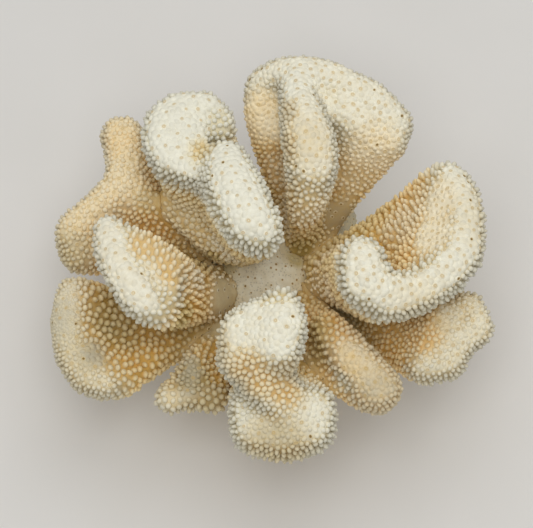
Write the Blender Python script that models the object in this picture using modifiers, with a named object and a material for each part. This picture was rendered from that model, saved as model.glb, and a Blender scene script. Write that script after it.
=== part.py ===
"""Cauliflower coral: the bleached skeleton of a branching reef coral, cut flat where it grew on the rock.

The colony is a low trunk on a lobed foot. Ten flattened branches leave the trunk, each a fan of tapering
fingers that run from one root to a wandering crest. A branch is parted from the trunk at its fork, and from
the neighbours that it grew against. Lengths are in millimetres here, and the objects are made in metres.
The surfaces reach the tips of the warts that cover the branches.
"""

import bmesh
import bpy
from mathutils import Matrix, Vector

MM = 0.001
CORAL_NAME = "cauliflower_coral"

# How a branch is grown from its root to its crest.
CREST_STEP = 5.0      # distance between neighbouring fingers along the crest
FINGER_STEP = 4.0     # distance between neighbouring balls along a finger
WAIST = 0.84          # a finger's girth at its middle, as a share of the even taper
OUT_SHARE = 0.62      # how far out a finger has gone at its control point
UP_SHARE = 0.40       # how far up it has gone there: less than out, so branches curve upwards

# How the balls become one skin.
SKIN_GRAIN = 1.5      # voxel of the remeshed skin
SKIN_SMOOTHING = 8    # rounds of smoothing that melt the balls together
FORK_GAP = 0.3        # clearance left where one piece meets the next
CORNER_TRAVEL = 1.35  # corners of a swollen skin travel this much further than its flat faces need
CUT_WELD = 0.05       # corners that a cut leaves closer together than this become one

FOOT_CUT = 0.0        # height of the flat cut under the foot
ROCK_BLOCK = 100.0    # side of the block that stands for the rock under that cut

CHALK_ROUGHNESS = 0.85

# Every branch: its root (x, y, z, radius) in the trunk, its own waist if it has one, its crests, its colour
# and the triangles it may use. Each crest is a line of (x, y, z, radius), in the order the ridge runs.
BRANCHES = {
    "inner_curl": {
        "root": (-14, 12, 35, 9.5),
        "crests": [
            [(-14, 35, 78, 4.5), (-15, 39, 78, 5.5), (-20, 42, 79, 7.0), (-27, 42, 79, 7.5),
             (-34, 38, 78, 8.0), (-35, 30, 79, 8.0), (-31, 22, 80, 8.0), (-25, 18, 82, 6.5)],
            [(-29, 35, 80, 7.5), (-25, 31, 80, 7.5), (-23, 22, 82, 5.5)],
            [(-13, 18, 87, 9.3), (-12, 12, 88, 10.6), (-9, 4, 89, 11.2), (-5, -4, 90, 11.0),
             (-2, -7, 89, 9.3)],
            [(-33, 17, 57, 5.0), (-27, 12, 57, 5.5), (-21, 6, 56, 5.5), (-14, 1, 56, 5.5)],
        ],
        "colour": (0.80, 0.74, 0.62),
        "triangles": 900,
    },
    "back_trident": {
        "root": (12, 12, 35, 9.5),
        "waist": 0.70,
        "crests": [
            [(11, 55, 80, 7.0), (10, 45, 82, 7.0), (12, 37, 84, 8.8), (14, 27, 85, 10.2),
             (15, 19, 83, 10.0), (14, 13, 78, 8.4), (12, 9, 70, 6.4)],
            [(11, 55, 80, 7.0), (4, 56, 76, 7.0), (-2, 54, 71, 7.0), (-2, 46, 69, 7.0),
             (-1, 39, 66, 6.0), (0, 35, 60, 5.0), (1, 30, 54, 4.0)],
            [(11, 55, 80, 7.0), (19, 54, 79, 7.5), (27, 50, 77, 8.0), (35, 46, 75, 8.5),
             (42, 39, 73, 8.5), (41, 33, 72, 7.5), (35, 32, 70, 7.0)],
            [(26, 42, 76, 7.5), (31, 37, 74, 8.0), (30, 31, 68, 6.5)],
            [(6, 48, 67, 6.0), (6, 40, 62, 6.0), (5, 34, 56, 5.5)],
            [(25, 41, 68, 7.0), (26, 35, 63, 6.5), (22, 28, 57, 6.0)],
        ],
        "colour": (0.74, 0.63, 0.46),
        "triangles": 1050,
    },
    "right_curl": {
        "root": (19, 1, 35, 9.5),
        "crests": [
            [(30, -17, 90, 9.5), (31, -25, 90, 9.5), (38, -29, 86, 9.0), (47, -26, 84, 8.5),
             (56, -20, 83, 9.0), (63, -11, 82, 9.0), (64, -2, 81, 8.5), (63, 8, 79, 9.0),
             (60, 16, 77, 8.0), (57, 19, 74, 6.5)],
            [(56, 11, 71, 7.0), (50, 5, 67, 7.5), (44, 0, 63, 7.5), (38, 2, 59, 7.0), (31, 5, 54, 6.0)],
            [(59, 13, 75, 7.5), (57, 5, 76, 8.0), (54, -4, 76, 8.0), (51, -12, 77, 8.0)],
        ],
        "colour": (0.79, 0.72, 0.58),
        "triangles": 900,
    },
    "front_saddle": {
        "root": (-2, -15, 33, 9.5),
        "crests": [
            [(5, -31, 86, 7.5), (6, -39, 87, 8.5), (4, -45, 85, 9.0), (-2, -44, 82, 8.5),
             (-8, -42, 80, 9.0), (-9, -46, 76, 8.5)],
            [(-3, -35, 83, 8.5), (-8, -38, 81, 8.5), (-1, -44, 82, 8.5), (0, -53, 73, 9.5)],
            [(15, -59, 64, 9.5), (14, -64, 62, 10.0), (6, -66, 60, 10.0), (-4, -64, 60, 9.5),
             (-6, -58, 63, 8.0)],
            [(0, -53, 73, 9.5), (7, -58, 67, 9.5)],
        ],
        "colour": (0.80, 0.73, 0.60),
        "triangles": 850,
    },
    "left_wedge": {
        "root": (-15, -7, 35, 9.5),
        "crests": [
            [(-51, -4, 82, 7.0), (-49, -13, 84, 7.5), (-44, -22, 85, 8.5), (-39, -29, 84, 8.0),
             (-35, -31, 81, 7.0), (-32, -27, 78, 6.5)],
            [(-45, -7, 82, 6.5), (-39, -14, 82, 7.0), (-32, -20, 80, 7.0)],
            [(-39, -8, 80, 6.0), (-30, -14, 78, 6.0)],
        ],
        "colour": (0.80, 0.71, 0.56),
        "triangles": 680,
    },
    "left_fork": {
        "root": (-19, 8, 31, 9.0),
        "crests": [
            [(-49, 41, 58, 9.0), (-47, 32, 59, 8.0), (-48, 22, 60, 8.0), (-57, 15, 58, 7.0),
             (-65, 7, 57, 7.5), (-63, 1, 51, 8.0)],
            [(-48, 22, 60, 8.0), (-41, 17, 57, 7.0)],
            [(-41, 31, 47, 7.0), (-38, 22, 46, 7.0), (-30, 19, 44, 6.0)],
        ],
        "colour": (0.70, 0.55, 0.37),
        "triangles": 650,
    },
    "left_cup": {
        "root": (-19, -12, 29, 9.0),
        "crests": [
            [(-64, -16, 57, 7.5), (-64, -26, 57, 8.5), (-63, -35, 55, 8.5), (-58, -42, 53, 9.0),
             (-53, -44, 53, 8.5), (-49, -43, 50, 8.0), (-44, -36, 44, 5.5), (-40, -35, 46, 6.5)],
        ],
        "colour": (0.68, 0.57, 0.39),
        "triangles": 700,
    },
    "small_fork": {
        "root": (-13, -19, 29, 8.5),
        "crests": [
            [(-32, -50, 50, 6.5), (-25, -49, 50, 6.0), (-18, -50, 50, 6.5)],
            [(-24, -46, 50, 5.5), (-24, -37, 48, 6.0)],
        ],
        "colour": (0.68, 0.57, 0.39),
        "triangles": 340,
    },
    "front_finger": {
        "root": (12, -9, 33, 9.0),
        "crests": [
            [(21, -31, 64, 7.0), (27, -41, 66, 8.5), (36, -51, 63, 9.5)],
            [(35, -50, 60, 9.5), (26, -47, 58, 7.0), (19, -39, 54, 6.5)],
            [(15, -21, 48, 6.0), (15, -30, 48, 6.0), (18, -38, 50, 6.0)],
        ],
        "colour": (0.69, 0.54, 0.36),
        "triangles": 480,
    },
    "right_fan": {
        "root": (24, -7, 27, 9.0),
        "crests": [
            [(67, -22, 63, 6.0), (69, -28, 63, 6.5), (69, -30, 62, 7.0), (62, -34, 62, 7.0),
             (59, -40, 59, 8.0), (52, -41, 58, 8.0)],
            [(57, -26, 63, 6.0), (54, -35, 61, 6.5)],
            [(36, -20, 46, 5.5), (43, -25, 50, 6.0), (50, -30, 54, 6.5)],
        ],
        "colour": (0.74, 0.62, 0.44),
        "triangles": 600,
    },
}

# The trunk and its foot, grown the same way but downwards and outwards.
TRUNK = {
    "root": (-1, -1, 25, 22.0),
    "crests": [
        [(21, 9, 5, 9.0), (19, -9, 5, 9.0), (7, -19, 4, 8.5), (-9, -17, 4, 9.0), (-21, -8, 5, 8.5),
         (-20, 8, 4, 9.0), (-9, 18, 5, 8.5), (6, 18, 4, 9.0), (18, 18, 5, 9.5), (21, 9, 5, 9.0)],
        [(0, 0, 6, 18.0)],
        [(25, 24, 26, 8.0)],
        [(-18, -19, 29, 7.0)],
    ],
    "colour": (0.62, 0.54, 0.38),
    "triangles": 850,
}


def clear_scene():
    for obj in list(bpy.data.objects):
        bpy.data.objects.remove(obj, do_unlink=True)


def new_collection(name):
    collection = bpy.data.collections.new(name)
    bpy.context.scene.collection.children.link(collection)
    return collection


def aragonite(name, colour):
    """Bleached coral skeleton: chalky and matt, from warm white to tan."""
    material = bpy.data.materials.new(name + "_aragonite")
    material.use_nodes = True
    shader = material.node_tree.nodes["Principled BSDF"]
    shader.inputs["Base Color"].default_value = (*colour, 1.0)
    shader.inputs["Roughness"].default_value = CHALK_ROUGHNESS
    shader.inputs["Metallic"].default_value = 0.0
    return material


def between(a, b, share):
    """The ball (x, y, z, radius) that lies this share of the way from a to b."""
    return tuple(p + (q - p) * share for p, q in zip(a, b))


def crest_balls(crest):
    """Balls along a crest line, evenly spread between its points."""
    balls = [crest[0]]
    for a, b in zip(crest, crest[1:]):
        length = (Vector(b[:3]) - Vector(a[:3])).length
        steps = max(1, round(length / CREST_STEP))
        balls += [between(a, b, i / steps) for i in range(1, steps + 1)]
    return balls


def finger_balls(root, tip, waist):
    """Balls along one finger, which bows outwards on a quadratic curve and is narrowest at its waist."""
    start, end = Vector(root[:3]), Vector(tip[:3])
    rise = end - start
    control = start + Vector((rise.x * OUT_SHARE, rise.y * OUT_SHARE, rise.z * UP_SHARE))
    steps = max(2, round(rise.length / FINGER_STEP))
    balls = []
    for i in range(steps + 1):
        t = i / steps
        centre = start * (1 - t) ** 2 + control * 2 * t * (1 - t) + end * t**2
        girth = root[3] + (tip[3] - root[3]) * t
        girth *= 1 - (1 - waist) * 4 * t * (1 - t)
        balls.append((*centre, girth))
    return balls


def ball_mesh(name, balls):
    """One mesh that holds a sphere for every ball, still loose from each other."""
    bm = bmesh.new()
    for x, y, z, radius in balls:
        place = Matrix.Translation(Vector((x, y, z)) * MM)
        bmesh.ops.create_icosphere(bm, subdivisions=2, radius=radius * MM, matrix=place)
    mesh = bpy.data.meshes.new(name)
    bm.to_mesh(mesh)
    bm.free()
    return mesh


def freeze(obj):
    """Turns an object's modifiers into plain geometry."""
    graph = bpy.context.evaluated_depsgraph_get()
    old = obj.data
    obj.data = bpy.data.meshes.new_from_object(obj.evaluated_get(graph))
    obj.modifiers.clear()
    bpy.data.meshes.remove(old)


def triangle_count(mesh):
    return sum(len(face.vertices) - 2 for face in mesh.polygons)


def grow(name, shape, collection):
    """A branch or the trunk: balls along its fingers, skinned over, smoothed and thinned out."""
    balls = []
    for crest in shape["crests"]:
        for tip in crest_balls(crest):
            balls += finger_balls(shape["root"], tip, shape.get("waist", WAIST))
    obj = bpy.data.objects.new(name, ball_mesh(name, balls))
    collection.objects.link(obj)
    skin = obj.modifiers.new("skin", "REMESH")
    skin.mode = "VOXEL"
    skin.voxel_size = SKIN_GRAIN * MM
    melt = obj.modifiers.new("melt", "SMOOTH")
    melt.factor = 0.5
    melt.iterations = SKIN_SMOOTHING
    freeze(obj)
    thin = obj.modifiers.new("thin", "DECIMATE")
    thin.ratio = min(1.0, shape["triangles"] / triangle_count(obj.data))
    freeze(obj)
    obj.data.materials.append(aragonite(name, shape["colour"]))
    return obj


def swollen_copy(obj, collection):
    """A copy that stands the fork gap outside the original, to cut its neighbours with."""
    copy = bpy.data.objects.new(obj.name + "_cutter", obj.data.copy())
    collection.objects.link(copy)
    copy.hide_render = True
    copy.display_type = "WIRE"
    bm = bmesh.new()
    bm.from_mesh(copy.data)
    for vert, normal in [(v, v.normal.copy()) for v in bm.verts]:
        vert.co += normal * FORK_GAP * CORNER_TRAVEL * MM
    bm.to_mesh(copy.data)
    bm.free()
    return copy


def clean_cut(obj):
    """Drops the crumbs that a cut leaves loose from the branch, and welds its slivers away."""
    bm = bmesh.new()
    bm.from_mesh(obj.data)
    left = set(bm.verts)
    pieces = []
    while left:
        queue = [left.pop()]
        piece = set(queue)
        while queue:
            for edge in queue.pop().link_edges:
                for vert in edge.verts:
                    if vert in left:
                        left.remove(vert)
                        piece.add(vert)
                        queue.append(vert)
        pieces.append(piece)
    pieces.sort(key=len)
    crumbs = [v for piece in pieces[:-1] for v in piece]
    bmesh.ops.delete(bm, geom=crumbs, context="VERTS")
    bmesh.ops.triangulate(bm, faces=bm.faces)
    bmesh.ops.remove_doubles(bm, verts=bm.verts, dist=CUT_WELD * MM)
    bmesh.ops.dissolve_degenerate(bm, edges=bm.edges, dist=CUT_WELD * MM)
    bmesh.ops.triangulate(bm, faces=bm.faces)
    bm.to_mesh(obj.data)
    bm.free()


def cut_away(obj, cutter):
    """Takes the cutter's space out of an object."""
    cut = obj.modifiers.new("part_from_" + cutter.name, "BOOLEAN")
    cut.operation = "DIFFERENCE"
    cut.object = cutter
    cut.use_self = True
    freeze(obj)
    clean_cut(obj)


def boxes_meet(a, b):
    """True if the boxes round two objects overlap."""
    def corners(obj):
        spots = [v.co for v in obj.data.vertices]
        return [(min(s[i] for s in spots), max(s[i] for s in spots)) for i in range(3)]
    return all(p[0] < q[1] and q[0] < p[1] for p, q in zip(corners(a), corners(b)))


def rock_block(collection):
    """The rock under the foot, as a block whose top is the level of the saw cut."""
    size = ROCK_BLOCK * MM
    bm = bmesh.new()
    place = Matrix.Translation((0, 0, FOOT_CUT * MM - size / 2))
    bmesh.ops.create_cube(bm, size=size, matrix=place)
    mesh = bpy.data.meshes.new("rock_cutter")
    bm.to_mesh(mesh)
    bm.free()
    block = bpy.data.objects.new("rock_cutter", mesh)
    collection.objects.link(block)
    block.hide_render = True
    block.display_type = "WIRE"
    return block


def main():
    clear_scene()
    parts = new_collection(CORAL_NAME)
    cutters = new_collection("cutters")

    trunk = grow("trunk_and_foot", TRUNK, parts)
    cut_away(trunk, rock_block(cutters))

    done = [trunk]
    for name, shape in BRANCHES.items():
        branch = grow("branch_" + name, shape, parts)
        for neighbour in done:
            if boxes_meet(branch, neighbour):
                cut_away(branch, swollen_copy(neighbour, cutters))
        done.append(branch)


main()
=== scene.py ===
# %% [markdown]
# # Cauliflower coral
# This is the dried, bleached skeleton of a cauliflower coral. The living animals were tiny polyps that sat
# on a skeleton of aragonite, and only that skeleton is left. It has a short trunk, cut flat where it was
# taken off the rock, and ten flattened branches that fan out from it. Every branch is covered with warts,
# called verrucae, about 1.5 to 2 mm wide. Between the warts sit the calices, the little pits that the
# polyps lived in.
#
# The frame holds the smooth envelope of each branch, which reaches the tips of the warts. Here the envelope
# is sunk by the height of a wart, thousands of warts are set on it, and the chalky finish is painted on.

import math

import bmesh
import bpy
import numpy as np
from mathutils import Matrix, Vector, noise
from mathutils.bvhtree import BVHTree
from mathutils.kdtree import KDTree


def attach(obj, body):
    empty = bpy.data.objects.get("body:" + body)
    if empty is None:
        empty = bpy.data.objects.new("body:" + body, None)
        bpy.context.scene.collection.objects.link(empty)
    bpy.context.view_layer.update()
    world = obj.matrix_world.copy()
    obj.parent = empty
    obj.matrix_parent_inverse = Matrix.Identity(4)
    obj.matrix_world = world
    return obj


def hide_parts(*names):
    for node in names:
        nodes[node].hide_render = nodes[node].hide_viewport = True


MM = 0.001

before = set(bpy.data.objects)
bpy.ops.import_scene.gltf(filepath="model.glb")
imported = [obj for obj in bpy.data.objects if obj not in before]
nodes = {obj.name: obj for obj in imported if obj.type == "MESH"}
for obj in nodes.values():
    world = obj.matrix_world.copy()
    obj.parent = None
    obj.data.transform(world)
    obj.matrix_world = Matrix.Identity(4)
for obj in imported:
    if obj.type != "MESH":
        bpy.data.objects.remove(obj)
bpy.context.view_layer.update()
print("nodes:", sorted(nodes))

# %% [markdown]
# The camera comes first, so that every later choice is judged from the same place. A collector looks down
# on a coral, into the crown of its branches, because that side faced the light and grew best. A long lens
# keeps the near branches from looking too big.

# %% Camera
LOOK_AT = Vector((0, 0, 45)) * MM
LOOK_DOWN = math.radians(68)
CAMERA_DISTANCE = 800 * MM
VIEW_WIDTH = 181 * MM
SENSOR_WIDTH = 36.0
NEAREST_SEEN = 10 * MM

towards_camera = Vector((0, -math.cos(LOOK_DOWN), math.sin(LOOK_DOWN)))
camera_data = bpy.data.cameras.new("camera")
camera_data.sensor_width = SENSOR_WIDTH
camera_data.lens = SENSOR_WIDTH * CAMERA_DISTANCE / VIEW_WIDTH
camera_data.clip_start = NEAREST_SEEN
camera = bpy.data.objects.new("camera", camera_data)
camera.location = LOOK_AT + towards_camera * CAMERA_DISTANCE
camera.rotation_euler = (-towards_camera).to_track_quat("-Z", "Y").to_euler()
bpy.context.scene.collection.objects.link(camera)
bpy.context.scene.camera = camera
print("lens, mm:", round(camera_data.lens))

# %% [markdown]
# Chalky things are lit softly, or the warts throw hard little shadows that hide their shape. Two soft
# boxes hang above: a large one a little behind the coral and to its right, and a smaller and stronger one
# in front. A pale room lights the crevices. Area lights were chosen over a sun because their size sets
# how soft a shadow's edge is.

# %% Light


def soft_box(name, place, size, power):
    """A square area light that faces the coral. Its place and size are in metres, its power in watts."""
    data = bpy.data.lights.new(name, "AREA")
    data.shape = "SQUARE"
    data.size = size
    data.energy = power
    lamp = bpy.data.objects.new(name, data)
    lamp.location = place
    lamp.rotation_euler = (LOOK_AT - lamp.location).to_track_quat("-Z", "Y").to_euler()
    bpy.context.scene.collection.objects.link(lamp)
    print(name, "watts:", power)


soft_box("key_soft_box", Vector((0.07, 0.20, 0.75)), 0.50, 1.22)
soft_box("fill_soft_box", Vector((-0.03, -0.24, 0.80)), 0.35, 1.72)

ROOM_COLOUR = (1.0, 1.0, 1.0, 1.0)
ROOM_LIGHT = 0.46
world = bpy.data.worlds.new("pale_room")
world.use_nodes = True
room = world.node_tree.nodes["Background"]
room.inputs["Color"].default_value = ROOM_COLOUR
room.inputs["Strength"].default_value = ROOM_LIGHT
bpy.context.scene.world = world
bpy.context.scene.view_settings.view_transform = "Standard"

# %% [markdown]
# A material starts from colours that a person can name. Screens and paint charts give them as sRGB hex,
# but light adds up in linear values, so one function turns hex into linear. A second function adds a
# shader node with its settings and links in one line, and gives back the output that the next node needs.
# Two more start a material and join its colour, roughness and relief to the shader.

# %% Colour and node helpers


def linear(hex_colour):
    """An sRGB hex colour, such as #d9bc8c, as linear red, green, blue and alpha."""
    channels = [int(hex_colour[i : i + 2], 16) / 255 for i in (1, 3, 5)]
    return (*(c / 12.92 if c <= 0.04045 else ((c + 0.055) / 1.055) ** 2.4 for c in channels), 1.0)


def add_node(tree, kind, settings=(), out=0, **inputs):
    """Adds a shader node and gives one of its outputs. An input is a value, or a socket to link from."""
    node = tree.nodes.new("ShaderNode" + kind)
    for key, value in dict(settings).items():
        setattr(node, key, value)
    for key, value in inputs.items():
        spot = int(key[1:]) if key[0] == "n" and key[1:].isdigit() else key.replace("_", " ")
        socket = node.inputs[spot]
        if isinstance(value, bpy.types.NodeSocket):
            tree.links.new(value, socket)
        else:
            socket.default_value = value
    return node.outputs[out]


def start_material(name):
    """A new material, its node tree, and the socket that gives a place on the object."""
    material = bpy.data.materials.new(name)
    material.use_nodes = True
    place = add_node(material.node_tree, "TexCoord", out="Object")
    return material, material.node_tree, place


def dress_shader(tree, colour, dull, relief, **settings):
    """Joins colour, roughness and relief to the shader, and sets what is the same all over."""
    shader = tree.nodes["Principled BSDF"]
    for spot, socket in (("Base Color", colour), ("Roughness", dull), ("Normal", relief)):
        tree.links.new(socket, shader.inputs[spot])
    for spot, value in settings.items():
        shader.inputs[spot.replace("_", " ")].default_value = value


COLOUR_MIX = {"data_type": "RGBA", "blend_type": "MIX", "clamp_factor": True}
COLOUR_TIMES = {**COLOUR_MIX, "blend_type": "MULTIPLY"}
print("white as linear values:", linear("#ffffff"))

# %% [markdown]
# The coral stands on uncoated paper board, which is matt and a little uneven in tone, with fibres too
# fine to count. A flat grid is enough for it. Its finish still has a slow cloud of tone and a faint press
# of fibres, because a plain colour reads as empty space under the shadow.

# %% Paper floor
PAPER_CLOUD = 40 * MM       # from one cloud of tone to the next
PAPER_FIBRE = 1.2 * MM      # real fibres are a tenth of this and wouldn't show
PAPER_RELIEF = 0.05 * MM
PAPER_COLOURS = ("#e6e4e0", "#e1dfda")
FLOOR_HALF = 1.5            # metres from the middle of the floor to its edge

floor_material, paper, place = start_material("uncoated_paper_board")
cloud = add_node(paper, "TexNoise", Vector=place, Scale=1 / PAPER_CLOUD)
fibre = add_node(paper, "TexNoise", Vector=place, Scale=1 / PAPER_FIBRE, Detail=3.0)
shades = dict(zip(("n6", "n7"), map(linear, PAPER_COLOURS)))
tint = add_node(paper, "Mix", COLOUR_MIX, out=2, n0=cloud, **shades)
dull = add_node(paper, "MapRange", Value=fibre, To_Min=0.84, To_Max=0.96)
press = add_node(paper, "Bump", Strength=0.15, Distance=PAPER_RELIEF, Height=fibre)
dress_shader(paper, tint, dull, press)

floor_bm = bmesh.new()
bmesh.ops.create_grid(floor_bm, x_segments=1, y_segments=1, size=FLOOR_HALF)
floor_mesh = bpy.data.meshes.new("floor")
floor_bm.to_mesh(floor_mesh)
floor_bm.free()
floor = bpy.data.objects.new("floor", floor_mesh)
floor_mesh.materials.append(floor_material)
bpy.context.scene.collection.objects.link(floor)
print("floor, metres wide:", 2 * FLOOR_HALF)

# %% [markdown]
# A coral has far too many corners to visit one by one, so its values are kept in arrays, one number or
# vector for each corner, and worked on all together. A few helpers do that: a soft ramp, a mix, vectors
# of length one, a quick way to read a mesh, and a tree that finds the nearest of many places.

# %% Helpers for arrays
TINY = 1e-9                 # keeps a division from failing where a length is nothing


def smooth_step(low, high, value):
    """0 below low, 1 above high and a soft ramp between, for single numbers and arrays."""
    share = np.clip((value - low) / (high - low), 0.0, 1.0)
    return share * share * (3 - 2 * share)


def mix(a, b, share):
    """a where the share is 0, b where it is 1, and in proportion between."""
    return a + (b - a) * share


def unit(vectors):
    """The same directions with a length of one."""
    return vectors / np.maximum(np.linalg.norm(vectors, axis=1), TINY)[:, None]


def read_vectors(items, key, count):
    """One vector of each of a mesh's items, as an array with three columns."""
    values = np.empty(count * 3, np.float32)
    items.foreach_get(key, values)
    return values.reshape(-1, 3).astype(np.float64)


def nearest_finder(places):
    """A search tree over an array of places."""
    tree = KDTree(len(places))
    for i, place in enumerate(places):
        tree.insert(place, i)
    tree.balance()
    return tree


print("a soft ramp at a quarter, a half and three quarters:", smooth_step(0, 4, np.array((1, 2, 3))))

# %% [markdown]
# Under the warts lies a smooth skin. Each envelope is a faceted shell, so a copy of it is welded, rounded
# with a Subdivision Surface, which is the usual way to get a soft form from a coarse cage, and relaxed
# with a few rounds of smoothing. The flat cut under the foot isn't relaxed, so that it stays flat.

# %% Round the skins
SKIN_ROUNDS = {"trunk_and_foot": 2}    # rounds of subdivision, where one round isn't enough
WELD_DISTANCE = 1e-6                   # metres; corners closer than this are one corner
RELAX_ROUNDS = 3                       # rounds of smoothing that take out the facets of the cage
RELAX_SHARE = 0.5                      # of the way to the middle of its neighbours, for each corner
CUT_LEVEL = 0.05 * MM                  # lower than this is the flat cut under the foot


def rounded_skin(node_name):
    """A welded copy of a node's envelope, rounded and relaxed, as a new mesh."""
    mesh = nodes[node_name].data.copy()
    bm = bmesh.new()
    bm.from_mesh(mesh)
    bmesh.ops.remove_doubles(bm, verts=bm.verts, dist=WELD_DISTANCE)
    bm.to_mesh(mesh)
    bm.free()
    mesh.materials.clear()
    obj = bpy.data.objects.new("rounding", mesh)
    bpy.context.scene.collection.objects.link(obj)
    rounding = obj.modifiers.new("rounding", "SUBSURF")
    rounding.levels = SKIN_ROUNDS.get(node_name, 1)
    rounding.render_levels = rounding.levels
    graph = bpy.context.evaluated_depsgraph_get()
    skin = bpy.data.meshes.new_from_object(obj.evaluated_get(graph))
    bpy.data.objects.remove(obj)
    bpy.data.meshes.remove(mesh)
    bm = bmesh.new()
    bm.from_mesh(skin)
    loose = [v for v in bm.verts if v.co.z > CUT_LEVEL]
    all_ways = {"use_axis_x": True, "use_axis_y": True, "use_axis_z": True}
    for _ in range(RELAX_ROUNDS):
        bmesh.ops.smooth_vert(bm, verts=loose, factor=RELAX_SHARE, **all_ways)
    bmesh.ops.triangulate(bm, faces=bm.faces)
    bm.to_mesh(skin)
    bm.free()
    return skin


print("rounds of subdivision where one isn't enough:", SKIN_ROUNDS)

# %% [markdown]
# Where a branch leaves the trunk, two skins come close, and that is how a fork is told from free skin. So
# every corner of a skin is measured against the envelopes of all the other nodes, with a search tree that
# finds the nearest of their faces, and the distance is kept as the corner's gap.

# %% Make and measure the skins


def neighbour_tree(node_name):
    """A search tree over the envelopes of all the other nodes."""
    points, faces = [], []
    for name, node in nodes.items():
        if name != node_name:
            start = len(points)
            points += [v.co.copy() for v in node.data.vertices]
            faces += [[start + i for i in face.vertices] for face in node.data.polygons]
    return BVHTree.FromPolygons(points, faces)


def gap_to_neighbours(node_name, places):
    """How far each place is from the nearest other node, in metres."""
    tree = neighbour_tree(node_name)
    return np.array([tree.find_nearest(Vector(p))[3] for p in places])


skins = {}
for node_name in sorted(nodes):
    mesh = rounded_skin(node_name)
    places = read_vectors(mesh.vertices, "co", len(mesh.vertices))
    normals = read_vectors(mesh.vertex_normals, "vector", len(mesh.vertices))
    mesh.calc_loop_triangles()
    corners = np.empty(len(mesh.loop_triangles) * 3, np.int32)
    mesh.loop_triangles.foreach_get("vertices", corners)
    skins[node_name] = {
        "corners": corners.reshape(-1, 3),
        "places": places,
        "normals": normals,
        "gap": gap_to_neighbours(node_name, places),
    }
    bpy.data.meshes.remove(mesh)
print("skin corners:", sum(len(s["places"]) for s in skins.values()))

# %% [markdown]
# A coral grows outwards from its root, and the newest growth, along the crest of a branch, is the whitest
# and has the lowest, most crowded warts. So each skin needs to know two things at every place: which way
# it grew, and how far it is from the crest. The growth direction points from the root to the place. The
# crest is where the skin faces that way, far enough from the root.

# %% Growth
CREST_FACING = 0.80     # the cosine of the widest angle between skin and growth that still is crest
ROOT_LOWEST = 60        # the root is the middle of the fork's lowest corners, this many of each hundred
ROOT_DEPTH = 12 * MM    # the growth lines start this far under it, so that they fan out gently
USUAL_REACH = 0.66      # how far out the crest starts, as a share of the longest growth line
CREST_REACH = {         # the same, for branches whose crest starts further out
    "branch_right_curl": 0.80,
    "branch_left_wedge": 0.80,
    "branch_left_fork": 0.74,
    "branch_left_cup": 0.80,
    "branch_front_finger": 0.74,
}
NO_CREST = 45 * MM      # the trunk is old all over, as if its crest were this far away
FORK_NEAR = 0.7 * MM    # closer than this to a neighbour, a skin belongs to the fork
FORK_FAR = 2.4 * MM     # further than this, it carries full warts


def add_growth(name, skin):
    """Adds the direction of growth and the distance below the crest, in millimetres."""
    places, gap = skin["places"], skin["gap"]
    if name == "trunk_and_foot":
        skin["growth"] = np.tile((0.0, 0.0, 1.0), (len(places), 1))
        skin["below"] = np.full(len(places), NO_CREST / MM)
        return 0
    at_fork = places[gap < FORK_NEAR]
    lowest = at_fork[at_fork[:, 2] < np.percentile(at_fork[:, 2], ROOT_LOWEST)]
    root = lowest.mean(axis=0) - np.array((0, 0, ROOT_DEPTH))
    lines = places - root
    lengths = np.linalg.norm(lines, axis=1)
    skin["growth"] = lines / lengths[:, None]
    facing = (skin["growth"] * skin["normals"]).sum(axis=1)
    reach = CREST_REACH.get(name, USUAL_REACH) * lengths.max()
    crest = places[(facing > CREST_FACING) & (lengths > reach)]
    tree = nearest_finder(crest)
    skin["below"] = np.array([tree.find(p)[2] for p in places]) / MM
    return len(crest)


for node_name, skin in skins.items():
    skin["free"] = smooth_step(FORK_NEAR, FORK_FAR, skin["gap"])
    print(node_name, "crest corners:", add_growth(node_name, skin))
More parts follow.
